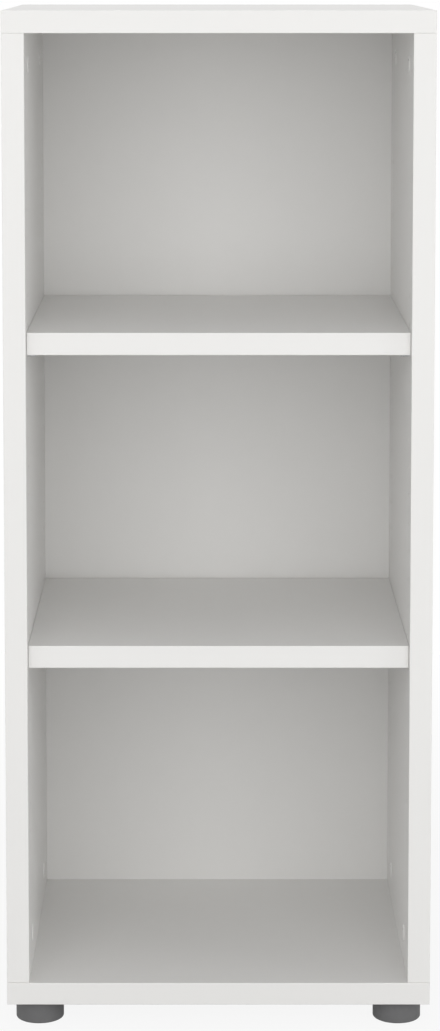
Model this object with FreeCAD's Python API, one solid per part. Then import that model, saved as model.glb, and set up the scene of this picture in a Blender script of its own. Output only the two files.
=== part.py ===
import FreeCAD
import Part
import os

# An open bookcase of faced chipboard: top, bottom, two sides, a thin back, two loose shelves on pins and
# four screw feet. Millimetres. X runs left to right, Y from front to back and Z up from the floor, with
# the origin under the middle of the bookcase.

# Carcass
WIDTH = 475.0               # across the outer faces of the sides
DEPTH = 375.0               # front edging to the boards' rear edges
SIDE_HEIGHT = 1065.0        # side panels, which stand between the bottom and top panels
BOARD = 25.0                # thickness of every chipboard panel

# Plastic edging, glued on the boards' visible edges
EDGING = 1.0                # strip thickness
EDGING_ROUND = 0.8          # radius round the outer face of a strip
EDGING_FOOT_GAP = 0.15      # hairline between the lower end of a side's strip and the bottom panel
LARGEST_ROUND = 0.9         # share of a strip's or wall's thickness that a rounding may take

# Back panel in its groove
BACK_THICKNESS = 3.0
BACK_INSET = 8.0            # boards' rear edges to the back panel's rear face
GROOVE_DEPTH = 8.0
GROOVE_PLAY = 0.2           # between the back panel's faces and the groove, each side
BACK_EDGE_PLAY = 0.8        # between the back panel's edges and the bottom of the groove

# Loose shelves
SHELF_SETBACK = 12.0        # carcass front to the shelf's front edge
SHELF_END_GAP = 0.3         # shelf end to side panel
SHELF_REAR_GAP = 2.0        # shelf rear edge to back panel
SHELF_SEAT_GAP = 0.1        # shelf underside to the flats of its pins

# Rows of shelf pin holes in the sides
HOLE_DIAMETER = 5.0
HOLE_DEPTH = 12.0
HOLE_PITCH = 32.0
HOLE_ROW_FRONT = 37.0       # carcass front to the front row
HOLE_ROW_REAR = 39.0        # rear row to the back panel
HOLE_END_MARGIN = 150.0     # least distance from the last hole to the end of a side
SHELF_ROW_PARTS = 4         # the shelves sit one of so many equal parts of a row in from its ends

# Shelf pins
PIN_FIT = 0.05              # radial, shank in its hole
PIN_END_PLAY = 3.0          # shank's tip to the bottom of its hole
PIN_NOSE = 10.0             # length under the shelf
PIN_NOSE_DIAMETER = 7.0
PIN_SEAT = 1.0              # pin axis to the flat that carries the shelf
PIN_CHAMFER = 0.6

# Cam fittings of the corner joints
CAM_BORE = 15.0             # diameter of the bore in the side
CAM_FIT = 0.1               # radial, cam in its bore
CAM_SUNK = 0.5              # side's inner face to the cam's face
CAM_BEYOND = 5.5            # bolt axis to the cam's inner end
CAM_BORE_PLAY = 0.3         # cam's inner end to the bottom of its bore
CAM_DISTANCE = 36.0         # end of the side to the cam's axis
CAM_FRONT = 65.0            # carcass front to the front cam
CAM_REAR = 75.0             # rear cam to the back panel
CAM_SOCKET = 4.0            # diameter of the driver socket in the cam's face
CAM_SOCKET_DEPTH = 4.0
CAM_SLOT = 1.4              # width of the crossed driver slots
CAM_SLOT_LENGTH = 10.0
CAM_SLOT_DEPTH = 2.5

# Bolts that the cams pull on
BOLT_HEAD = 7.0             # diameter
BOLT_HEAD_LENGTH = 4.0
BOLT_NECK = 4.8             # diameter
BOLT_NECK_LENGTH = 8.0
BOLT_SHANK = 7.0            # diameter
BOLT_THREAD = 6.0           # diameter in the panel
BOLT_THREAD_LENGTH = 11.0
BOLT_HOLE_PLAY = 0.5        # round the bolt in the end of the side
BOLT_PLAY = 0.4             # round the head and neck inside the cam
BOLT_FIT = 0.05             # radial, thread in the panel
BOLT_END_PLAY = 0.5         # beyond the thread's tip

# White caps over the cams
CAP_LIP = 1.5               # how far a cap reaches over the rim of the cam's bore
CAP_THICKNESS = 1.0
CAP_ROUND = 0.6
CAP_PLUG_FIT = 0.1          # radial, plug in the cam's socket
CAP_PLUG_END_PLAY = 1.5     # plug's tip to the bottom of the socket

# Dowels
DOWEL_DIAMETER = 8.0
DOWEL_LENGTH = 35.0
DOWEL_IN_PANEL = 12.0       # length in the top or bottom panel
DOWEL_FIT = 0.05            # radial
DOWEL_END_PLAY = 0.8
DOWEL_CHAMFER = 1.0
DOWEL_FROM_CAM = 32.0       # towards the middle of the joint

# Screw feet
FOOT_HEIGHT = 26.0          # floor to the bottom panel, feet screwed home
FOOT_DIAMETER = 54.0
FOOT_SIDE_INSET = 35.0      # foot axis to the outer face of the side
FOOT_FRONT_INSET = 37.0     # foot axis to the carcass front
FOOT_REAR_INSET = 37.0      # foot axis to the boards' rear edges
FOOT_TOP_GAP = 0.3          # foot base to the bottom panel
FOOT_WALL = 3.0
FOOT_SOLE = 4.0             # thickness
FOOT_SOLE_ROUND = 2.0
FOOT_TOP_ROUND = 0.8
FOOT_BOSS_WALL = 3.5        # round the head of the stud
FOOT_RIB = 2.5              # thickness
FOOT_RIBS = 6
SOLE_RIM = 8.0              # width of the ring that stands on the floor
SOLE_RECESS_DEPTH = 0.8     # of the shallow recess inside that ring

# Studs of the feet and the nuts that they turn in
STUD_DIAMETER = 10.0
STUD_COVER = 6.2            # board left above the hole for the stud
STUD_END_PLAY = 0.8         # round and beyond the stud's tip
STUD_PAST_NUT = 4.0         # stud's tip beyond the nut, foot screwed home
STUD_HEAD_LIP = 2.5         # stud to the rim of its head inside the base
STUD_HEAD_THICKNESS = 4.0
STUD_HEAD_PLAY = 0.1        # above and below the head
STUD_FIT = 0.08             # radial, in the nut and in the base
STUD_CHAMFER = 1.0
NUT_WALL = 1.5
NUT_FLANGE_WIDTH = 2.5
NUT_FLANGE_THICKNESS = 1.5
NUT_FIT = 0.05              # radial, in the panel

# Sizes that follow from their neighbours
EDGING_RADIUS = min(EDGING_ROUND, LARGEST_ROUND * EDGING)
PIN_SHANK = HOLE_DEPTH - PIN_END_PLAY
BOLT_HOLE = max(BOLT_HEAD, BOLT_SHANK) + 2 * BOLT_HOLE_PLAY
CAP_DIAMETER = CAM_BORE + 2 * CAP_LIP
CAP_PLUG_LENGTH = CAM_SUNK + CAM_SOCKET_DEPTH - CAP_PLUG_END_PLAY
STUD_REACH = BOARD - STUD_COVER - STUD_END_PLAY
STUD_HEAD = STUD_DIAMETER + 2 * STUD_HEAD_LIP
NUT_LENGTH = STUD_REACH - STUD_PAST_NUT
NUT_DIAMETER = STUD_DIAMETER + 2 * NUT_WALL
NUT_FLANGE = NUT_DIAMETER + 2 * NUT_FLANGE_WIDTH
FOOT_BOSS = STUD_HEAD + 2 * FOOT_BOSS_WALL
SOLE_RECESS = FOOT_DIAMETER - 2 * SOLE_RIM

# Planes that pieces share
HALF_WIDTH = WIDTH / 2
FRONT = -DEPTH / 2
REAR = DEPTH / 2
PANEL_FRONT = FRONT + EDGING
INNER_HALF = HALF_WIDTH - BOARD
BOARD_MIDDLE = HALF_WIDTH - BOARD / 2
SIDE_LOW = FOOT_HEIGHT + BOARD
SIDE_HIGH = SIDE_LOW + SIDE_HEIGHT
TOP = SIDE_HIGH + BOARD
BACK_REAR = REAR - BACK_INSET
BACK_FRONT = BACK_REAR - BACK_THICKNESS

# Places along the depth
HOLE_ROWS = (FRONT + HOLE_ROW_FRONT, BACK_FRONT - HOLE_ROW_REAR)
CAM_ROWS = (FRONT + CAM_FRONT, BACK_FRONT - CAM_REAR)
DOWEL_ROWS = (CAM_ROWS[0] + DOWEL_FROM_CAM, CAM_ROWS[1] - DOWEL_FROM_CAM)

# Heights of the pin holes: as many as fit, centred on the side
HOLE_COUNT = int((SIDE_HEIGHT - 2 * HOLE_END_MARGIN) / HOLE_PITCH) + 1
HOLE_LOW = SIDE_LOW + (SIDE_HEIGHT - (HOLE_COUNT - 1) * HOLE_PITCH) / 2
HOLE_HEIGHTS = [HOLE_LOW + step * HOLE_PITCH for step in range(HOLE_COUNT)]
SHELF_HOLE = HOLE_COUNT // SHELF_ROW_PARTS
LOWER_PIN_HEIGHT = HOLE_HEIGHTS[SHELF_HOLE]
UPPER_PIN_HEIGHT = HOLE_HEIGHTS[-1 - SHELF_HOLE]

# Directions: -1 is the left side or the bottom end of a side, +1 the right side or its top end
SIDES = {"left": -1, "right": 1}
ENDS = (-1, 1)
FOOT_ROWS = {"front": FRONT + FOOT_FRONT_INSET, "rear": REAR - FOOT_REAR_INSET}
UP = FreeCAD.Vector(0, 0, 1)
ACROSS = FreeCAD.Vector(1, 0, 0)
FORWARD = FreeCAD.Vector(0, -1, 0)


def box(x, y, z):
    """A block between two values on each axis, given in either order."""
    low = FreeCAD.Vector(min(x), min(y), min(z))
    return Part.makeBox(abs(x[1] - x[0]), abs(y[1] - y[0]), abs(z[1] - z[0]), low)


def rod(diameter, start, direction, length):
    """A round bar from a point, along a direction."""
    return Part.makeCylinder(diameter / 2, length, start, direction)


def end_of_side(end):
    """Height of the side's bottom or top end."""
    return SIDE_HIGH if end > 0 else SIDE_LOW


def edging_strip(x, y, z, outward, rounded):
    """A strip of edging, its outer face rounded off on the edges that run along the given directions."""
    strip = box(x, y, z)
    outer = max(strip.Faces, key=lambda face: face.CenterOfMass.dot(outward))
    edges = []
    for edge in outer.Edges:
        run = edge.Vertexes[1].Point - edge.Vertexes[0].Point
        if any(abs(run.dot(direction)) > 0 for direction in rounded):
            edges.append(edge)
    return strip.makeFillet(EDGING_RADIUS, edges)


def front_edging(half, front, z):
    """The strip across the front of a panel, rounded all round."""
    return edging_strip((-half, half), (front, front + EDGING), z, FORWARD, (ACROSS, UP))


def end_edging(side, z):
    """The strip on the left or right end of the top or bottom panel, butted against the front strip."""
    x = (side * (HALF_WIDTH - EDGING), side * HALF_WIDTH)
    return edging_strip(x, (PANEL_FRONT, REAR), z, ACROSS * side, (FORWARD,))


def side_edging(side):
    """The strip on the front of a side, butted against the top panel and rounded all round."""
    x = (side * INNER_HALF, side * HALF_WIDTH)
    z = (SIDE_LOW + EDGING_FOOT_GAP, SIDE_HIGH)
    return edging_strip(x, (FRONT, PANEL_FRONT), z, FORWARD, (ACROSS, UP))


def groove(x, z):
    """The slot that takes the back panel."""
    return box(x, (BACK_FRONT - GROOVE_PLAY, BACK_REAR + GROOVE_PLAY), z)


def back_panel():
    """The back, which reaches into the grooves of all four boards."""
    reach = GROOVE_DEPTH - BACK_EDGE_PLAY
    half = INNER_HALF + reach
    return box((-half, half), (BACK_FRONT, BACK_REAR), (SIDE_LOW - reach, SIDE_HIGH + reach))


def cam_point(side, end, y):
    """Where a cam's axis leaves the inner face of the side."""
    return FreeCAD.Vector(side * INNER_HALF, y, end_of_side(end) - end * CAM_DISTANCE)


def bolt_point(side, end, y):
    """Where a bolt's axis crosses the cam's axis."""
    return FreeCAD.Vector(side * BOARD_MIDDLE, y, end_of_side(end) - end * CAM_DISTANCE)


def joint_point(side, end, y):
    """The middle of the board at the joint between a side and the top or bottom panel."""
    return FreeCAD.Vector(side * BOARD_MIDDLE, y, end_of_side(end))


def cam_bore(side, end, y):
    depth = BOARD / 2 + CAM_BEYOND + CAM_BORE_PLAY
    return rod(CAM_BORE, cam_point(side, end, y), ACROSS * side, depth)


def bolt_hole_in_side(side, end, y):
    return rod(BOLT_HOLE, bolt_point(side, end, y), UP * end, CAM_DISTANCE)


def bolt_hole_in_panel(side, end, y):
    depth = BOLT_THREAD_LENGTH + BOLT_END_PLAY
    return rod(BOLT_THREAD + 2 * BOLT_FIT, joint_point(side, end, y), UP * end, depth)


def dowel_hole(side, end, y):
    """Both halves of a dowel's hole, in the side and in the panel."""
    middle = joint_point(side, end, y)
    start = middle - UP * end * (DOWEL_LENGTH - DOWEL_IN_PANEL + DOWEL_END_PLAY)
    return rod(DOWEL_DIAMETER + 2 * DOWEL_FIT, start, UP * end, DOWEL_LENGTH + 2 * DOWEL_END_PLAY)


def pin_holes(side):
    """The two rows of holes for shelf pins in a side."""
    places = [FreeCAD.Vector(side * INNER_HALF, y, z) for y in HOLE_ROWS for z in HOLE_HEIGHTS]
    return [rod(HOLE_DIAMETER, place, ACROSS * side, HOLE_DEPTH) for place in places]


def side_panel(side):
    """A side, drilled for pins, cams, bolts and dowels and grooved for the back."""
    board = box((side * INNER_HALF, side * HALF_WIDTH), (PANEL_FRONT, REAR), (SIDE_LOW, SIDE_HIGH))
    cuts = pin_holes(side)
    cuts.append(groove((side * INNER_HALF, side * (INNER_HALF + GROOVE_DEPTH)), (SIDE_LOW, SIDE_HIGH)))
    for end in ENDS:
        for y in CAM_ROWS:
            cuts.append(cam_bore(side, end, y))
            cuts.append(bolt_hole_in_side(side, end, y))
        for y in DOWEL_ROWS:
            cuts.append(dowel_hole(side, end, y))
    return board.cut(cuts)


def level_panel(end):
    """The top or bottom panel, drilled and grooved on the face towards the sides."""
    joint = end_of_side(end)
    half = HALF_WIDTH - EDGING
    board = box((-half, half), (PANEL_FRONT, REAR), (joint, joint + end * BOARD))
    groove_half = INNER_HALF + GROOVE_DEPTH
    cuts = [groove((-groove_half, groove_half), (joint, joint + end * GROOVE_DEPTH))]
    for side in SIDES.values():
        for y in CAM_ROWS:
            cuts.append(bolt_hole_in_panel(side, end, y))
        for y in DOWEL_ROWS:
            cuts.append(dowel_hole(side, end, y))
    return board.cut(cuts)


def bottom_panel():
    """The bottom panel, with the holes for the nuts of the feet."""
    cuts = []
    for place in foot_places().values():
        cuts.append(rod(NUT_DIAMETER + 2 * NUT_FIT, place, UP, NUT_LENGTH))
        cuts.append(rod(NUT_FLANGE + 2 * NUT_FIT, place, UP, NUT_FLANGE_THICKNESS))
        cuts.append(rod(STUD_DIAMETER + 2 * STUD_END_PLAY, place, UP, STUD_REACH + STUD_END_PLAY))
    return level_panel(-1).cut(cuts)


def corner_fittings(make, rows):
    """One piece for each place in each of the four corner joints, as a group."""
    return Part.makeCompound([make(side, end, y) for side in SIDES.values() for end in ENDS for y in rows])


def cam_lock(side, end, y):
    """A zinc cam with its driver socket and the pocket that traps the bolt's head."""
    inward = ACROSS * side
    face = cam_point(side, end, y) + inward * CAM_SUNK
    body = rod(CAM_BORE - 2 * CAM_FIT, face, inward, BOARD / 2 - CAM_SUNK + CAM_BEYOND)
    socket = rod(CAM_SOCKET, face, inward, CAM_SOCKET_DEPTH)
    slot_x = (face.x, face.x + side * CAM_SLOT_DEPTH)
    long_half = CAM_SLOT_LENGTH / 2
    wide_half = CAM_SLOT / 2
    slot = box(slot_x, (y - long_half, y + long_half), (face.z - wide_half, face.z + wide_half))
    cross = box(slot_x, (y - wide_half, y + wide_half), (face.z - long_half, face.z + long_half))
    centre = bolt_point(side, end, y)
    head_low = centre - UP * end * (BOLT_HEAD_LENGTH / 2 + BOLT_PLAY)
    pocket = rod(BOLT_HEAD + 2 * BOLT_PLAY, head_low, UP * end, BOLT_HEAD_LENGTH + 2 * BOLT_PLAY)
    mouth = rod(BOLT_NECK + 2 * BOLT_PLAY, centre, UP * end, CAM_BORE)
    return body.cut([socket, slot, cross, pocket, mouth])


def cam_bolt(side, end, y):
    """A steel bolt: head and neck in the cam, shank in the side, thread in the panel."""
    along = UP * end
    head_start = bolt_point(side, end, y) - along * (BOLT_HEAD_LENGTH / 2)
    neck_start = head_start + along * BOLT_HEAD_LENGTH
    shank_start = neck_start + along * BOLT_NECK_LENGTH
    shank_length = CAM_DISTANCE - BOLT_HEAD_LENGTH / 2 - BOLT_NECK_LENGTH
    head = rod(BOLT_HEAD, head_start, along, BOLT_HEAD_LENGTH)
    neck = rod(BOLT_NECK, neck_start, along, BOLT_NECK_LENGTH)
    shank = rod(BOLT_SHANK, shank_start, along, shank_length)
    thread = rod(BOLT_THREAD, joint_point(side, end, y), along, BOLT_THREAD_LENGTH)
    return head.fuse([neck, shank, thread])


def cam_cap(side, end, y):
    """A round cover on the face of the side, plugged into the cam's socket."""
    face = cam_point(side, end, y)
    disc = rod(CAP_DIAMETER, face, ACROSS * -side, CAP_THICKNESS)
    shown = min(disc.Faces, key=lambda flat: flat.CenterOfMass.x * side)
    disc = disc.makeFillet(min(CAP_ROUND, LARGEST_ROUND * CAP_THICKNESS), shown.Edges)
    plug = rod(CAM_SOCKET - 2 * CAP_PLUG_FIT, face, ACROSS * side, CAP_PLUG_LENGTH)
    return disc.fuse(plug)


def dowel(side, end, y):
    """A beech dowel with chamfered ends, half in the side and half in the panel."""
    start = joint_point(side, end, y) - UP * end * (DOWEL_LENGTH - DOWEL_IN_PANEL)
    peg = rod(DOWEL_DIAMETER, start, UP * end, DOWEL_LENGTH)
    rims = [edge for face in peg.Faces if face.Surface.isPlanar() for edge in face.Edges]
    return peg.makeChamfer(DOWEL_CHAMFER, rims)


def shelf_pin(side, y, z):
    """A pin with its shank in the side and a nose that is flat on top under the shelf."""
    face = FreeCAD.Vector(side * INNER_HALF, y, z)
    shank = rod(HOLE_DIAMETER - 2 * PIN_FIT, face, ACROSS * side, PIN_SHANK)
    nose = rod(PIN_NOSE_DIAMETER, face, ACROSS * -side, PIN_NOSE)
    tip = min(nose.Faces, key=lambda flat: flat.CenterOfMass.x * side)
    nose = nose.makeChamfer(PIN_CHAMFER, tip.Edges)
    above = box((face.x, face.x - side * PIN_NOSE), (y - PIN_NOSE_DIAMETER, y + PIN_NOSE_DIAMETER),
                (z + PIN_SEAT, z + PIN_NOSE_DIAMETER))
    return nose.cut(above).fuse(shank)


def shelf_pins(z):
    """The four pins that carry one shelf."""
    return Part.makeCompound([shelf_pin(side, y, z) for side in SIDES.values() for y in HOLE_ROWS])


def shelf_heights(pin_height):
    """Underside and top of the shelf that lies on pins at this height."""
    low = pin_height + PIN_SEAT + SHELF_SEAT_GAP
    return low, low + BOARD


def shelf(pin_height):
    """A loose shelf, clear of the sides and the back."""
    half = INNER_HALF - SHELF_END_GAP
    return box((-half, half), (PANEL_FRONT + SHELF_SETBACK, BACK_FRONT - SHELF_REAR_GAP),
               shelf_heights(pin_height))


def shelf_edging(pin_height):
    """The strip on the front of a shelf."""
    return front_edging(INNER_HALF - SHELF_END_GAP, FRONT + SHELF_SETBACK, shelf_heights(pin_height))


def foot_places():
    """Where each foot's axis meets the underside of the bottom panel."""
    places = {}
    for row, y in FOOT_ROWS.items():
        for name, side in SIDES.items():
            places[row + "_" + name] = FreeCAD.Vector(side * (HALF_WIDTH - FOOT_SIDE_INSET), y, FOOT_HEIGHT)
    return places


def insert_nut(place):
    """A flanged steel nut, pressed into the bottom panel from below."""
    barrel = rod(NUT_DIAMETER, place, UP, NUT_LENGTH)
    flange = rod(NUT_FLANGE, place, UP, NUT_FLANGE_THICKNESS)
    return barrel.fuse(flange).cut(rod(STUD_DIAMETER + 2 * STUD_FIT, place, UP, NUT_LENGTH))


def stud_head_low():
    """Height of the underside of a stud's head, just above the sole of its base."""
    return FOOT_SOLE + STUD_HEAD_PLAY


def foot_stud(place):
    """A steel stud with a round head that is caught in the base."""
    bottom = FreeCAD.Vector(place.x, place.y, stud_head_low())
    length = FOOT_HEIGHT + STUD_REACH - bottom.z
    bar = rod(STUD_DIAMETER, bottom, UP, length)
    tip = max(bar.Faces, key=lambda face: face.CenterOfMass.z)
    bar = bar.makeChamfer(STUD_CHAMFER, tip.Edges)
    return bar.fuse(rod(STUD_HEAD, bottom, UP, STUD_HEAD_THICKNESS))


def foot_base(place):
    """A round moulded cup with a flat sole, a boss round the stud and ribs between boss and wall."""
    centre = FreeCAD.Vector(place.x, place.y, 0)
    height = FOOT_HEIGHT - FOOT_TOP_GAP
    cup = rod(FOOT_DIAMETER, centre, UP, height)
    low = min(cup.Faces, key=lambda face: face.CenterOfMass.z)
    cup = cup.makeFillet(FOOT_SOLE_ROUND, low.Edges)
    high = max(cup.Faces, key=lambda face: face.CenterOfMass.z)
    cup = cup.makeFillet(min(FOOT_TOP_ROUND, LARGEST_ROUND * FOOT_WALL), high.Edges)
    hollow_low = centre + UP * FOOT_SOLE
    hollow_diameter = FOOT_DIAMETER - 2 * FOOT_WALL
    hollow = rod(hollow_diameter, hollow_low, UP, height)
    keep = [rod(FOOT_BOSS, hollow_low, UP, height)]
    for number in range(FOOT_RIBS):
        rib = box((centre.x, centre.x + hollow_diameter),
                  (centre.y - FOOT_RIB / 2, centre.y + FOOT_RIB / 2), (FOOT_SOLE, FOOT_SOLE + height))
        rib.rotate(centre, UP, 360.0 * number / FOOT_RIBS)
        keep.append(rib)
    cup = cup.cut(hollow.cut(keep))
    bore = rod(STUD_DIAMETER + 2 * STUD_FIT, hollow_low, UP, height)
    pocket = rod(STUD_HEAD + 2 * STUD_FIT, hollow_low, UP, STUD_HEAD_THICKNESS + 2 * STUD_HEAD_PLAY)
    recess = rod(SOLE_RECESS, centre, UP, SOLE_RECESS_DEPTH)
    return cup.cut([bore, pocket, recess])


def carcass_nodes():
    top_z = (SIDE_HIGH, TOP)
    bottom_z = (FOOT_HEIGHT, SIDE_LOW)
    nodes = {
        "top_panel": level_panel(1),
        "top_front_edging": front_edging(HALF_WIDTH, FRONT, top_z),
        "bottom_panel": bottom_panel(),
        "bottom_front_edging": front_edging(HALF_WIDTH, FRONT, bottom_z),
        "back_panel": back_panel(),
        "cam_locks": corner_fittings(cam_lock, CAM_ROWS),
        "cam_bolts": corner_fittings(cam_bolt, CAM_ROWS),
        "cam_cover_caps": corner_fittings(cam_cap, CAM_ROWS),
        "wooden_dowels": corner_fittings(dowel, DOWEL_ROWS),
        "foot_insert_nuts": Part.makeCompound([insert_nut(place) for place in foot_places().values()]),
    }
    for name, side in SIDES.items():
        nodes[name + "_side_panel"] = side_panel(side)
        nodes[name + "_side_edging"] = side_edging(side)
        nodes["top_" + name + "_edging"] = end_edging(side, top_z)
        nodes["bottom_" + name + "_edging"] = end_edging(side, bottom_z)
    return nodes


def shelf_nodes():
    nodes = {}
    for name, pin_height in (("upper", UPPER_PIN_HEIGHT), ("lower", LOWER_PIN_HEIGHT)):
        nodes[name + "_shelf"] = shelf(pin_height)
        nodes[name + "_shelf_edging"] = shelf_edging(pin_height)
        nodes[name + "_shelf_pins"] = shelf_pins(pin_height)
    return nodes


def foot_nodes():
    nodes = {}
    for name, place in foot_places().items():
        nodes[name + "_foot_stud"] = foot_stud(place)
        nodes[name + "_foot_base"] = foot_base(place)
    return nodes


def write_nodes(nodes):
    os.makedirs("parts", exist_ok=True)
    for name, shape in nodes.items():
        shape.exportStep(os.path.join("parts", name + ".step"))


write_nodes({**carcass_nodes(), **shelf_nodes(), **foot_nodes()})
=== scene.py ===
import math

import bmesh
import bpy
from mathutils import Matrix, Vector


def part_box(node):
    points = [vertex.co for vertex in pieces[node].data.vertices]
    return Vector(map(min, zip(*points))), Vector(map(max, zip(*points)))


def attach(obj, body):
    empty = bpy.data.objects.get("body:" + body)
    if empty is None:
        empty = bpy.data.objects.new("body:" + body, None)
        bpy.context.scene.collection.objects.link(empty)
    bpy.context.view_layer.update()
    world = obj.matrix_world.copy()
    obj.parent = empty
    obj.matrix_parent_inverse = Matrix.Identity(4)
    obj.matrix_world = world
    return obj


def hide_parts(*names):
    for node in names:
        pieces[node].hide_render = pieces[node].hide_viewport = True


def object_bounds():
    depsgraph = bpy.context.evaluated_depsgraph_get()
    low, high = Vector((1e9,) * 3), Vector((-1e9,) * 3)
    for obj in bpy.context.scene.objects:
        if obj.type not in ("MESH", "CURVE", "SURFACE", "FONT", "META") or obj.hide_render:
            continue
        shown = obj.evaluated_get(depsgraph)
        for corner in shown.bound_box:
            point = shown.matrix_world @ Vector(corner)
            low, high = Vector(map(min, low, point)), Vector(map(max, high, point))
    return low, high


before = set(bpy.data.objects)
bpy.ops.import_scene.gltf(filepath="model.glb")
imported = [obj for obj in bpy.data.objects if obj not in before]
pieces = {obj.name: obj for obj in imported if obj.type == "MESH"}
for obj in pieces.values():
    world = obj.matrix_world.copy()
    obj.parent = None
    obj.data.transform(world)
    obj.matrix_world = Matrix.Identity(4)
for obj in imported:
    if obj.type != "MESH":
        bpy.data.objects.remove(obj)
cad_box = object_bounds()

# Side panels
# The two upright boards: chipboard faced with white melamine laminate on both sides, sawn to size, drilled
# from the inside for pins, cams and dowels and grooved for the back. Holes, groove and rear edge show the
# raw core, with coarse chips in the middle and dust towards the faces.

ACROSS, DEEP, UPRIGHT = 0, 1, 2         # the axes, as the sockets of a node count them
FACING = 0.00045                        # thickness of the white laminate
MELAMINE_WHITE = (0.806, 0.799, 0.785)
MELAMINE_SHADE = (0.794, 0.787, 0.772)  # where the laminate is a touch thinner over the chips
MELAMINE_ROUGHNESS = (0.38, 0.50)
MOTTLE_SCALE = 55.0                     # spots in a metre, as all scales here
PEARL_SCALE = 2400.0                    # the fine pearls that are pressed into the laminate
PEARL_HEIGHT = 0.00002
CHIP_PALE = (0.680, 0.505, 0.320)
CHIP_DARK = (0.380, 0.250, 0.135)
CHIP_GAP_PAINTED_SHADE = (0.150, 0.095, 0.050)        # painted shade in the gaps between the coarse chips, dark for their depth and not for their wood
CHIP_ROUGHNESS = 0.92
CHIP_LAYERS = (0.30, 0.38)              # shares of the thickness off the middle: chips inside, dust outside
CHIP_FLATNESS = 0.25                    # thickness of a chip, lying flat, as a share of its length
CHIP_SCALE = 850.0
DUST_SCALE = 2600.0
DUST_ON_CHIPS = 0.3
GAP_SCALE = 620.0
GAP_LIMITS = (0.60, 0.68)               # heights of the noise over which a gap opens
CORE_RELIEF = 0.0002


def new_finish(name):
    """A new node material, its tree and its shader."""
    finish = bpy.data.materials.new(name)
    finish.use_nodes = True
    return finish, finish.node_tree, finish.node_tree.nodes["Principled BSDF"]


def node(tree, kind, inputs, **settings):
    """Adds a node: inputs gives each socket a value, or another node's output to follow."""
    made = tree.nodes.new("ShaderNode" + kind)
    for setting, value in settings.items():
        setattr(made, setting, value)
    feed(tree, made, inputs)
    return made


def feed(tree, target, inputs):
    """Sets the named sockets of a node, or links them to other nodes' outputs."""
    for socket, value in inputs.items():
        if isinstance(value, bpy.types.NodeSocket):
            tree.links.new(value, target.inputs[socket])
        else:
            target.inputs[socket].default_value = value


def math_node(tree, operation, first, second=0.0):
    """The result of one sum on numbers or other nodes' outputs."""
    return node(tree, "Math", {0: first, 1: second}, operation=operation).outputs[0]


def choose(tree, amount, low, high, kind="FLOAT"):
    """The first input where the amount is 0 and the second where it is 1."""
    mixed = node(tree, "Mix", {0: amount}, data_type=kind)
    first, second, result = {"FLOAT": (2, 3, 0), "RGBA": (6, 7, 2)}[kind]
    feed(tree, mixed, {first: low, second: high})
    return mixed.outputs[result]


def shades(tree, amount, low, high):
    """A colour between two shades, following an amount from 0 to 1."""
    return choose(tree, amount, (*low, 1.0), (*high, 1.0), "RGBA")


def spread(tree, amount, limits):
    """Spreads an amount from 0 to 1 between two limits."""
    return node(tree, "MapRange", {0: amount, 3: limits[0], 4: limits[1]}).outputs[0]


def rise(tree, amount, limits):
    """0 up to the first limit, rising to 1 at the second."""
    return node(tree, "MapRange", {0: amount, 1: limits[0], 2: limits[1]}).outputs[0]


def place_on_piece(tree, stretch=(1.0, 1.0, 1.0)):
    """The point on the piece in metres, in its own frame, stretched for grain that runs one way."""
    point = node(tree, "TexCoord", {}).outputs["Object"]
    return node(tree, "Mapping", {"Vector": point, "Scale": stretch}).outputs["Vector"]


def noise(tree, point, scale, detail=2.0, roughness=0.5):
    """Soft spots, so many to the metre, with finer ones added by the detail."""
    return node(tree, "TexNoise", {"Vector": point, "Scale": scale, "Detail": detail,
                                   "Roughness": roughness}).outputs["Fac"]


def bump(tree, height, distance, strength=1.0, below=None):
    """A relief of a height in metres, on top of another relief if one is given."""
    inputs = {"Height": height, "Distance": distance, "Strength": strength}
    if below is not None:
        inputs["Normal"] = below
    return node(tree, "Bump", inputs).outputs["Normal"]


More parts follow.
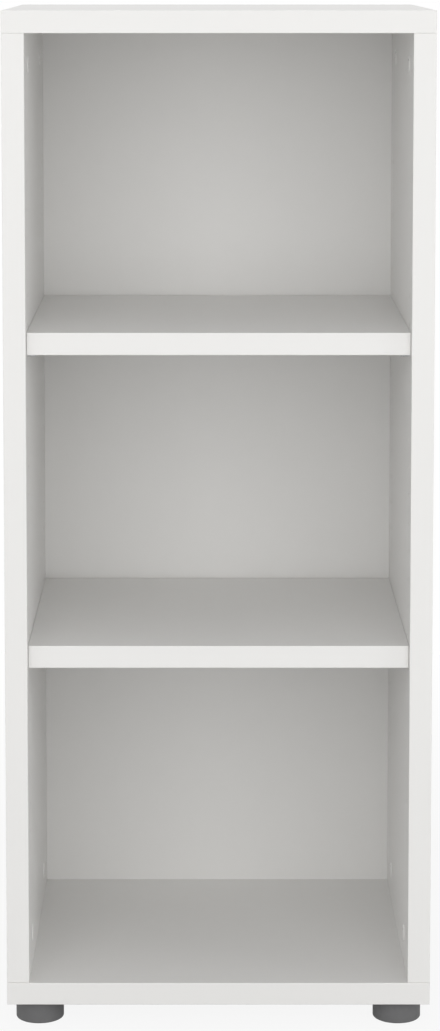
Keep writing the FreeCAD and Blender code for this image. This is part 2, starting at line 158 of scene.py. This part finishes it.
def faced_chipboard(name, board, faced):
    """White laminate on the outermost faces of a board across the faced axes, and raw chips inside them.

    The first of the axes runs through the thickness of the board.
    """
    finish, tree, shader = new_finish(name)
    point = place_on_piece(tree)
    low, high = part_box(board)
    parts = node(tree, "SeparateXYZ", {0: point})

    def off_middle(axis):
        middle = (low[axis] + high[axis]) / 2
        return math_node(tree, "ABSOLUTE", math_node(tree, "SUBTRACT", parts.outputs[axis], middle))

    core = 1.0
    for axis in faced:
        inside = math_node(tree, "LESS_THAN", off_middle(axis), (high[axis] - low[axis]) / 2 - FACING)
        core = math_node(tree, "MULTIPLY", inside, core)

    mottle = noise(tree, point, MOTTLE_SCALE, detail=3.0)
    white = shades(tree, mottle, MELAMINE_SHADE, MELAMINE_WHITE)
    pearl = noise(tree, point, PEARL_SCALE, detail=1.0)

    through = faced[0]
    stretch = [CHIP_FLATNESS] * 3
    stretch[through] = 1.0
    chip_point = place_on_piece(tree, stretch)
    layer = math_node(tree, "DIVIDE", off_middle(through), high[through] - low[through])
    dusty = rise(tree, layer, CHIP_LAYERS)
    chips = node(tree, "TexVoronoi", {"Vector": chip_point, "Scale": CHIP_SCALE})
    chip_tone = node(tree, "SeparateColor", {0: chips.outputs["Color"]}).outputs[0]
    dust = noise(tree, chip_point, DUST_SCALE, detail=3.0)
    tone = choose(tree, dusty, choose(tree, DUST_ON_CHIPS, chip_tone, dust), dust)
    gaps = rise(tree, noise(tree, chip_point, GAP_SCALE, detail=3.0), GAP_LIMITS)
    pits = math_node(tree, "MULTIPLY", gaps, math_node(tree, "SUBTRACT", 1.0, dusty))
    # Where a gap opens, the chips' colour gives way to painted shade. The same gaps are also sunk in the
    # relief below.
    brown = choose(tree, pits, shades(tree, tone, CHIP_DARK, CHIP_PALE), (*CHIP_GAP_PAINTED_SHADE, 1.0), "RGBA")

    core_height = math_node(tree, "SUBTRACT", tone, pits)
    feed(tree, shader, {
        "Base Color": choose(tree, core, white, brown, "RGBA"),
        "Roughness": choose(tree, core, spread(tree, pearl, MELAMINE_ROUGHNESS), CHIP_ROUGHNESS),
        "Normal": bump(tree, core_height, CORE_RELIEF, core, bump(tree, pearl, PEARL_HEIGHT)),
    })
    return finish


def dress(piece_name, finish):
    """Gives a piece its finish."""
    materials = pieces[piece_name].data.materials
    materials.clear()
    materials.append(finish)


for side in ("left", "right"):
    panel = side + "_side_panel"
    dress(panel, faced_chipboard(side + "_side_board", panel, (ACROSS,)))

# Edging
# Strips of white plastic, 1 mm thick, glued on the edges that show and rounded off along their free edges.
# They are cut from a roll, so faint draw lines run along each strip.

EDGING_WHITE = (0.886, 0.879, 0.862)
EDGING_SHADE = (0.876, 0.868, 0.850)
EDGING_ROUGHNESS = (0.32, 0.42)
DRAW_LINE_SCALE = 900.0
DRAW_LINE_NARROWNESS = 0.01             # width of a draw line as a share of its length
EDGING_GRAIN_SCALE = 1800.0
EDGING_GRAIN_HEIGHT = 0.00001


def edging_finish(name, along):
    """Satin plastic with faint draw lines along one axis."""
    finish, tree, shader = new_finish(name)
    stretch = [1.0, 1.0, 1.0]
    stretch[along] = DRAW_LINE_NARROWNESS
    lines = noise(tree, place_on_piece(tree, stretch), DRAW_LINE_SCALE)
    grain = noise(tree, place_on_piece(tree), EDGING_GRAIN_SCALE, detail=1.0)
    feed(tree, shader, {
        "Base Color": shades(tree, lines, EDGING_SHADE, EDGING_WHITE),
        "Roughness": spread(tree, lines, EDGING_ROUGHNESS),
        "Normal": bump(tree, grain, EDGING_GRAIN_HEIGHT),
    })
    return finish


upright_edging = edging_finish("upright_edging", UPRIGHT)
for side in ("left", "right"):
    dress(side + "_side_edging", upright_edging)

# Dowels
# Beech pegs, pressed into the ends of the sides, with their tips in the top and bottom panels.
# The grain runs along the peg, with the short dark flecks of beech.

BEECH_PALE = (0.640, 0.465, 0.300)
BEECH_DARK = (0.500, 0.330, 0.190)
BEECH_ROUGHNESS = (0.55, 0.75)
BEECH_GRAIN_SCALE = 1400.0
BEECH_GRAIN_RUN = (1.0, 1.0, 0.05)      # the grain is drawn out along the peg
BEECH_GRAIN_HEIGHT = 0.0001
FLECK_SCALE = 2600.0
FLECK_RUN = (1.0, 1.0, 0.2)
FLECK_LIMITS = (0.62, 0.72)             # heights of the noise over which a fleck shows
FLECK_DARKNESS = 0.5


def beech_finish():
    """Raw beech with its grain upright."""
    finish, tree, shader = new_finish("beech")
    grain = noise(tree, place_on_piece(tree, BEECH_GRAIN_RUN), BEECH_GRAIN_SCALE, detail=3.0)
    flecks = rise(tree, noise(tree, place_on_piece(tree, FLECK_RUN), FLECK_SCALE, detail=1.0), FLECK_LIMITS)
    tone = math_node(tree, "SUBTRACT", grain, math_node(tree, "MULTIPLY", flecks, FLECK_DARKNESS))
    feed(tree, shader, {
        "Base Color": shades(tree, tone, BEECH_DARK, BEECH_PALE),
        "Roughness": spread(tree, grain, BEECH_ROUGHNESS),
        "Normal": bump(tree, grain, BEECH_GRAIN_HEIGHT),
    })
    return finish


dress("wooden_dowels", beech_finish())

# Cams and their bolts
# Die-cast zinc cams in round bores near the ends of the sides, which draw in the steel bolts of the top and
# bottom panels. The castings are dull and slightly grainy, the bolts are turned and zinc plated.

CAST_ZINC = (0.600, 0.600, 0.612)
CAST_ZINC_DULL = (0.480, 0.480, 0.490)
PLATED_STEEL = (0.700, 0.705, 0.720)
PLATED_STEEL_DULL = (0.580, 0.585, 0.605)
METAL_FILM_SCALE = 180.0


def metal_finish(name, bright, dull, roughness, grain_scale, grain_height):
    """Bare metal with an uneven film and a fine grain."""
    finish, tree, shader = new_finish(name)
    point = place_on_piece(tree)
    film = noise(tree, point, METAL_FILM_SCALE, detail=4.0)
    grain = noise(tree, point, grain_scale)
    feed(tree, shader, {
        "Base Color": shades(tree, film, dull, bright),
        "Metallic": 1.0,
        "Roughness": spread(tree, film, roughness),
        "Normal": bump(tree, grain, grain_height),
    })
    return finish


cast_zinc = metal_finish("cast_zinc", CAST_ZINC, CAST_ZINC_DULL, roughness=(0.40, 0.58), grain_scale=1600.0,
                         grain_height=0.00006)
plated_steel = metal_finish("plated_steel", PLATED_STEEL, PLATED_STEEL_DULL, roughness=(0.20, 0.36),
                            grain_scale=2600.0, grain_height=0.00001)
dress("cam_locks", cast_zinc)
dress("cam_bolts", plated_steel)

# Back panel
# One sheet of thin fibreboard, slid into the grooves of all four boards. Its front is lacquered white;
# its rear is left raw and brown, with the print of the wire screen that it was pressed on.

LACQUER_WHITE = (0.800, 0.793, 0.778)
LACQUER_SHADE = (0.786, 0.779, 0.763)
FIBRE_PALE = (0.430, 0.300, 0.180)
FIBRE_DARK = (0.300, 0.195, 0.105)
LACQUER_COAT = 0.00045                  # thickness
LACQUER_ROUGHNESS = 0.46
LACQUER_CLOUD_SCALE = 40.0
LACQUER_PEEL_SCALE = 700.0              # the orange peel of sprayed lacquer
LACQUER_PEEL_HEIGHT = 0.00002
FIBRE_ROUGHNESS = 0.88
FIBRE_SCALE = 900.0
FIBRE_RUN = (1.0, 1.0, 0.4)
SCREEN_PITCH = 0.0016
SCREEN_DEPTH = 0.5                      # of the screen's print, as a share of the fibres' relief
REAR_RELIEF = 0.00015


def fibreboard_finish():
    """White lacquer on the front face, and raw fibres with the print of the screen behind it."""
    finish, tree, shader = new_finish("lacquered_fibreboard")
    point = place_on_piece(tree)
    parts = node(tree, "SeparateXYZ", {0: point})
    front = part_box("back_panel")[0].y
    raw = math_node(tree, "GREATER_THAN", parts.outputs[DEEP], front + LACQUER_COAT)

    cloud = noise(tree, point, LACQUER_CLOUD_SCALE, detail=3.0)
    peel = noise(tree, point, LACQUER_PEEL_SCALE, detail=1.0)

    def wave(axis):
        turned = math_node(tree, "MULTIPLY", parts.outputs[axis], 2 * math.pi / SCREEN_PITCH)
        return math_node(tree, "SINE", turned)

    screen = math_node(tree, "MULTIPLY", wave(ACROSS), wave(UPRIGHT))
    fibres = noise(tree, place_on_piece(tree, FIBRE_RUN), FIBRE_SCALE, detail=5.0, roughness=0.65)
    rear_height = math_node(tree, "ADD", math_node(tree, "MULTIPLY", screen, SCREEN_DEPTH), fibres)

    feed(tree, shader, {
        "Base Color": choose(tree, raw, shades(tree, cloud, LACQUER_SHADE, LACQUER_WHITE),
                             shades(tree, fibres, FIBRE_DARK, FIBRE_PALE), "RGBA"),
        "Roughness": choose(tree, raw, LACQUER_ROUGHNESS, FIBRE_ROUGHNESS),
        "Normal": bump(tree, rear_height, REAR_RELIEF, raw, bump(tree, peel, LACQUER_PEEL_HEIGHT)),
    })
    return finish


dress("back_panel", fibreboard_finish())

# Top and bottom panels
# The same faced chipboard, laid over and under the ends of the sides and edged on the front and both ends.
# The rear edges stay raw.

across_edging = edging_finish("across_edging", ACROSS)
deep_edging = edging_finish("deep_edging", DEEP)
for level in ("top", "bottom"):
    panel = level + "_panel"
    dress(panel, faced_chipboard(level + "_board", panel, (UPRIGHT,)))
    dress(level + "_front_edging", across_edging)
    dress(level + "_left_edging", deep_edging)
    dress(level + "_right_edging", deep_edging)

# Cam cover caps
# Round white plastic caps pushed into the cams' sockets, to hide them on the inside of the sides.
# They are moulded smooth and are a little whiter and shinier than the boards.

CAP_WHITE = (0.860, 0.855, 0.842)
CAP_SHADE = (0.842, 0.836, 0.822)
CAP_ROUGHNESS = (0.26, 0.30)
CAP_FLOW_SCALE = 160.0
CAP_GRAIN_SCALE = 3000.0
CAP_GRAIN_HEIGHT = 0.000004


def cap_finish():
    """Smooth white plastic, a little uneven where it flowed in the mould."""
    finish, tree, shader = new_finish("white_cap")
    point = place_on_piece(tree)
    flow = noise(tree, point, CAP_FLOW_SCALE)
    grain = noise(tree, point, CAP_GRAIN_SCALE, detail=1.0)
    feed(tree, shader, {
        "Base Color": shades(tree, flow, CAP_SHADE, CAP_WHITE),
        "Roughness": spread(tree, flow, CAP_ROUGHNESS),
        "Normal": bump(tree, grain, CAP_GRAIN_HEIGHT),
    })
    return finish


dress("cam_cover_caps", cap_finish())

# Screw feet
# A flanged steel nut is pressed into the bottom panel for each foot, and a steel stud turns in it.
# The stud's head is caught in a round base, moulded in dark grey plastic with a fine grain.

FOOT_GREY = (0.176, 0.176, 0.178)
FOOT_GREY_DARK = (0.157, 0.157, 0.159)
FOOT_ROUGHNESS = (0.60, 0.76)
FOOT_GLOSS = 0.2
FOOT_CLOUD_SCALE = 120.0
FOOT_GRAIN_SCALE = 2200.0
FOOT_GRAIN_HEIGHT = 0.00004


def foot_finish():
    """Dark grey plastic with the dull grain of an etched mould."""
    finish, tree, shader = new_finish("dark_grey_plastic")
    point = place_on_piece(tree)
    grain = noise(tree, point, FOOT_GRAIN_SCALE)
    cloud = noise(tree, point, FOOT_CLOUD_SCALE)
    feed(tree, shader, {
        "Base Color": shades(tree, cloud, FOOT_GREY_DARK, FOOT_GREY),
        "Roughness": spread(tree, grain, FOOT_ROUGHNESS),
        "Specular IOR Level": FOOT_GLOSS,
        "Normal": bump(tree, grain, FOOT_GRAIN_HEIGHT),
    })
    return finish


STUD_RADIUS = 0.005
STUD_HEAD_THICKNESS = 0.004
STUD_CHAMFER = 0.001
THREAD_PITCH = 0.0015
THREAD_DEPTH = 0.00092
THREAD_PROFILE = ((0.0, 0.0), (0.125, 0.0), (0.4375, 1.0), (0.6875, 1.0))  # shares of pitch and depth
THREAD_STEPS = 48                       # points round the stud
JOINED = 0.000001                       # points that lie closer are one
SHARP_CORNER = math.radians(25.0)


def depth_of_thread(height):
    """How deep the thread is cut, as a share, at a height in pitches above the start of a crest."""
    place = height % 1.0
    corners = [*THREAD_PROFILE, (1.0, 0.0)]
    for (before, depth), (after, next_depth) in zip(corners, corners[1:]):
        if place <= after:
            return depth + (next_depth - depth) * (place - before) / (after - before)


def threaded_stud(corner):
    """A stud with its thread cut from the round head to the chamfered tip."""
    low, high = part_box(corner + "_foot_stud")
    axis = (low + high) / 2
    thread_low = low.z + STUD_HEAD_THICKNESS
    turns = math.ceil((high.z - thread_low) / THREAD_PITCH) + 1
    metal = bmesh.new()

    def on_thread(turned, step):
        """A point on the thread, so many turns and steps on from its lower end."""
        height = thread_low + THREAD_PITCH * (turned + step / THREAD_STEPS)
        held = min(max(height, thread_low), high.z)
        depth = depth_of_thread((held - thread_low) / THREAD_PITCH - step / THREAD_STEPS)
        radius = min(STUD_RADIUS - THREAD_DEPTH * depth, STUD_RADIUS - STUD_CHAMFER + high.z - held)
        angle = 2 * math.pi * step / THREAD_STEPS
        return metal.verts.new((axis.x + radius * math.cos(angle), axis.y + radius * math.sin(angle), held))

    rows = [[on_thread(turn + share, step) for step in range(THREAD_STEPS)]
            for turn in range(-1, turns + 1) for share, _ in THREAD_PROFILE]
    one_turn = len(THREAD_PROFILE)
    for number in range(len(rows) - one_turn - 1):
        row, above = rows[number], rows[number + 1]
        for step in range(THREAD_STEPS - 1):
            metal.faces.new((row[step], row[step + 1], above[step + 1], above[step]))
        metal.faces.new((row[-1], rows[number + one_turn][0], rows[number + one_turn + 1][0], above[-1]))
    bmesh.ops.remove_doubles(metal, verts=metal.verts, dist=JOINED)

    head_radius = (high.x - low.x) / 2
    rim = [edge for edge in metal.edges if edge.is_boundary and edge.verts[0].co.z < axis.z]
    for height in (thread_low, low.z):
        drawn = bmesh.ops.extrude_edge_only(metal, edges=rim)["geom"]
        rim = [part for part in drawn if isinstance(part, bmesh.types.BMEdge)]
        for point in (part for part in drawn if isinstance(part, bmesh.types.BMVert)):
            out = Vector((point.co.x - axis.x, point.co.y - axis.y)).normalized() * head_radius
            point.co = (axis.x + out.x, axis.y + out.y, height)
    bmesh.ops.holes_fill(metal, edges=[edge for edge in metal.edges if edge.is_boundary])
    bmesh.ops.recalc_face_normals(metal, faces=metal.faces)
    for face in metal.faces:
        face.smooth = True
    for edge in metal.edges:
        edge.smooth = edge.calc_face_angle() < SHARP_CORNER

    data = bpy.data.meshes.new(corner + "_threaded_stud")
    metal.to_mesh(data)
    metal.free()
    data.materials.append(plated_steel)
    stud = bpy.data.objects.new(corner + "_threaded_stud", data)
    bpy.context.scene.collection.objects.link(stud)
    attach(stud, corner + "_foot_stud")
    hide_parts(corner + "_foot_stud")


dress("foot_insert_nuts", plated_steel)
grey_plastic = foot_finish()
for corner in ("front_left", "front_right", "rear_left", "rear_right"):
    dress(corner + "_foot_stud", plated_steel)
    dress(corner + "_foot_base", grey_plastic)
    threaded_stud(corner)

# Loose shelves
# Faced chipboard again, edged on the front and closed with white laminate at the ends, on four steel pins
# each. The pins have a flat on top, and are pushed into holes of the two rows in each side.

for name in ("upper", "lower"):
    dress(name + "_shelf_pins", plated_steel)
    board = name + "_shelf"
    dress(board, faced_chipboard(name + "_shelf_board", board, (UPRIGHT, ACROSS)))
    dress(name + "_shelf_edging", across_edging)

# Floor
# A pale round studio floor under the bookcase, white to the eye and shaded only where the bookcase keeps
# the light off it.

WHITE = (1.0, 1.0, 1.0, 1.0)
FLOOR_RADIUS = 12.0
FLOOR_CORNERS = 96
FLOOR_PALE = (0.550, 0.550, 0.550, 1.0)
FLOOR_ROUGHNESS = 0.9
SHADOW_SHARE = 0.10             # how much of the floor's look is its own shading, close to the bookcase
SHADED_RADIUS = (0.6, 1.6)      # from the first on, the shading fades, and at the second it has gone

floor_mesh = bpy.data.meshes.new("studio_floor")
outline = bmesh.new()
bmesh.ops.create_circle(outline, cap_ends=True, segments=FLOOR_CORNERS, radius=FLOOR_RADIUS)
outline.to_mesh(floor_mesh)
outline.free()
floor = bpy.data.objects.new("studio_floor", floor_mesh)
bpy.context.scene.collection.objects.link(floor)


def seen_directly(tree):
    """1 for what the camera sees, by itself or in gloss and through glass, and 0 for light that bounces."""
    path = node(tree, "LightPath", {})
    seen = math_node(tree, "MAXIMUM", path.outputs["Is Camera Ray"], path.outputs["Is Glossy Ray"])
    return math_node(tree, "MAXIMUM", seen, path.outputs["Is Transmission Ray"])


floor_finish, tree, shader = new_finish("studio_floor")
feed(tree, shader, {"Base Color": FLOOR_PALE, "Roughness": FLOOR_ROUGHNESS})
from_bookcase = node(tree, "VectorMath", {0: node(tree, "TexCoord", {}).outputs["Object"]},
                     operation="LENGTH").outputs["Value"]
glow_share = node(tree, "MapRange", {0: from_bookcase, 1: SHADED_RADIUS[0], 2: SHADED_RADIUS[1],
                                     3: 1.0 - SHADOW_SHARE, 4: 1.0}).outputs[0]
glow = node(tree, "Emission", {"Color": WHITE, "Strength": 1.0})
look = node(tree, "MixShader", {0: math_node(tree, "MULTIPLY", glow_share, seen_directly(tree)),
                                1: shader.outputs[0], 2: glow.outputs[0]})
tree.links.new(look.outputs[0], tree.nodes["Material Output"].inputs["Surface"])
floor_mesh.materials.append(floor_finish)

# Studio light
# A white surround, one wide soft lamp in front, whose middle is above the bookcase, a smaller one to each
# side and one overhead. The surround is plain white to the eye and lights the bookcase less strongly.

SURROUND_LIGHT = 0.57
world = bpy.data.worlds.new("studio")
bpy.context.scene.world = world
world.use_nodes = True
tree = world.node_tree
strength = spread(tree, seen_directly(tree), (SURROUND_LIGHT, 1.0))
feed(tree, tree.nodes["Background"], {"Color": WHITE, "Strength": strength})

bookcase_middle = (cad_box[0] + cad_box[1]) / 2


def soft_lamp(name, place, wide, tall, power):
    """An oblong lamp that faces the middle of the bookcase."""
    lamp_data = bpy.data.lights.new(name, "AREA")
    lamp_data.shape = "RECTANGLE"
    lamp_data.size = wide
    lamp_data.size_y = tall
    lamp_data.energy = power
    lamp = bpy.data.objects.new(name, lamp_data)
    lamp.location = place
    lamp.visible_camera = False
    lamp.rotation_euler = (bookcase_middle - Vector(place)).to_track_quat("-Z", "Y").to_euler()
    bpy.context.scene.collection.objects.link(lamp)


soft_lamp("front_lamp", (0.0, -3.84, 1.69), wide=4.6, tall=3.4, power=64.0)
soft_lamp("left_lamp", (-3.24, -2.27, 1.20), wide=2.4, tall=1.6, power=11.0)
soft_lamp("right_lamp", (3.78, -1.30, 0.90), wide=1.8, tall=1.4, power=21.0)
soft_lamp("top_lamp", (0.0, 0.70, 3.30), wide=1.6, tall=1.6, power=11.0)

# Camera
# A long lens straight in front, just above the height of the top panel and tipped a little down.
# Its frame is shifted down over the bookcase.

CAMERA_PLACE = (-0.0147, -3.3120, 1.1990)
CAMERA_TIPPED_DOWN = math.radians(5.285)
FRAME_SHIFT = (0.0142, -0.285)

camera_data = bpy.data.cameras.new("camera")
camera_data.lens = 100.0
camera_data.sensor_width = 36.0
camera_data.shift_x, camera_data.shift_y = FRAME_SHIFT
camera = bpy.data.objects.new("camera", camera_data)
camera.location = CAMERA_PLACE
camera.rotation_euler = (math.pi / 2 - CAMERA_TIPPED_DOWN, 0.0, 0.0)
bpy.context.scene.collection.objects.link(camera)
bpy.context.scene.camera = camera
bpy.context.scene.view_settings.view_transform = "Standard"
